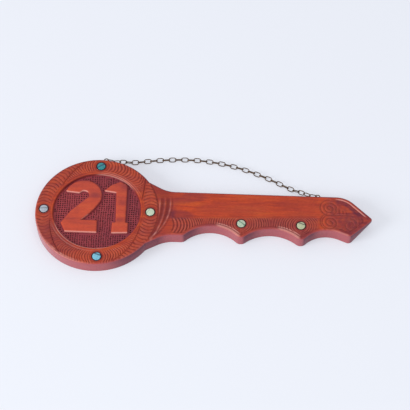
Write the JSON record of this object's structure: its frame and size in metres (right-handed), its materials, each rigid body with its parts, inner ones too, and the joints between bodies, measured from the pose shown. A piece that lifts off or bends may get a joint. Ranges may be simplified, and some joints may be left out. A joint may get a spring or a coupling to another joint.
{
  "type": "decorative wall key",
  "caption": "Carved wooden wall key with raised numerals, ripple carving, shell disc inlays, a scalloped lower edge and a chain for hanging it from two screw eyes.",
  "frame": {"origin": "middle of the round head, on the flat back face", "axes": "+X runs from the head to the tip, +Y points to the straight edge that carries the chain, +Z points out of the carved face"},
  "size_m": [0.4028, 0.1643, 0.0186],
  "materials": {
    "carved_wood": "satin",
    "shell_teal": "gloss",
    "shell_silver": "gloss",
    "shell_blue": "gloss",
    "shell_mint": "gloss",
    "shell_green": "gloss",
    "shell_olive": "gloss",
    "eye_brass": "satin",
    "chain_brass": "satin"
  },
  "bodies": {
    "key": {"key_board": "carved_wood", "shell_disc_head_top": "shell_teal", "shell_disc_head_left": "shell_silver", "shell_disc_head_bottom": "shell_blue", "shell_disc_head_right": "shell_mint", "shell_disc_shank_1": "shell_green", "shell_disc_shank_2": "shell_olive", "screw_eye_head": "eye_brass", "screw_eye_shank": "eye_brass"},
    "first_link": {"chain_link_01": "chain_brass"},
    "chain": {"chain_link_02": "chain_brass", "chain_link_03": "chain_brass", "chain_link_04": "chain_brass", "chain_link_05": "chain_brass", "chain_link_06": "chain_brass", "chain_link_07": "chain_brass", "chain_link_08": "chain_brass", "chain_link_09": "chain_brass", "chain_link_10": "chain_brass", "chain_link_11": "chain_brass", "chain_link_12": "chain_brass", "chain_link_13": "chain_brass", "chain_link_14": "chain_brass", "chain_link_15": "chain_brass", "chain_link_16": "chain_brass", "chain_link_17": "chain_brass", "chain_link_18": "chain_brass", "chain_link_19": "chain_brass", "chain_link_20": "chain_brass", "chain_link_21": "chain_brass", "chain_link_22": "chain_brass", "chain_link_23": "chain_brass", "chain_link_24": "chain_brass", "chain_link_25": "chain_brass", "chain_link_26": "chain_brass", "chain_link_27": "chain_brass", "chain_link_28": "chain_brass", "chain_link_29": "chain_brass", "chain_link_30": "chain_brass", "chain_link_31": "chain_brass", "chain_link_32": "chain_brass", "chain_link_33": "chain_brass", "chain_link_34": "chain_brass"},
    "last_link": {"chain_link_35": "chain_brass"}
  },
  "joints": [
    {"name": "chain_swing", "type": "hinge", "parent": "key", "child": "chain", "pos_m": [0.00667, 0.07791, 0.009], "axis": [0.9863, -0.1647, 0], "range_deg": [-45, 85]},
    {"name": "first_link_turn", "type": "hinge", "parent": "key", "child": "first_link", "pos_m": [0.00667, 0.07791, 0.009], "axis": [0.9863, -0.1647, 0], "range_deg": [-23, 43]},
    {"name": "last_link_turn", "type": "hinge", "parent": "key", "child": "last_link", "pos_m": [0.26283, 0.03515, 0.009], "axis": [0.9863, -0.1647, 0], "range_deg": [-23, 43]}
  ],
  "couplings": [
    {"joint": "first_link_turn", "follows": "chain_swing", "ratio": 0.5},
    {"joint": "last_link_turn", "follows": "chain_swing", "ratio": 0.5}
  ]
}
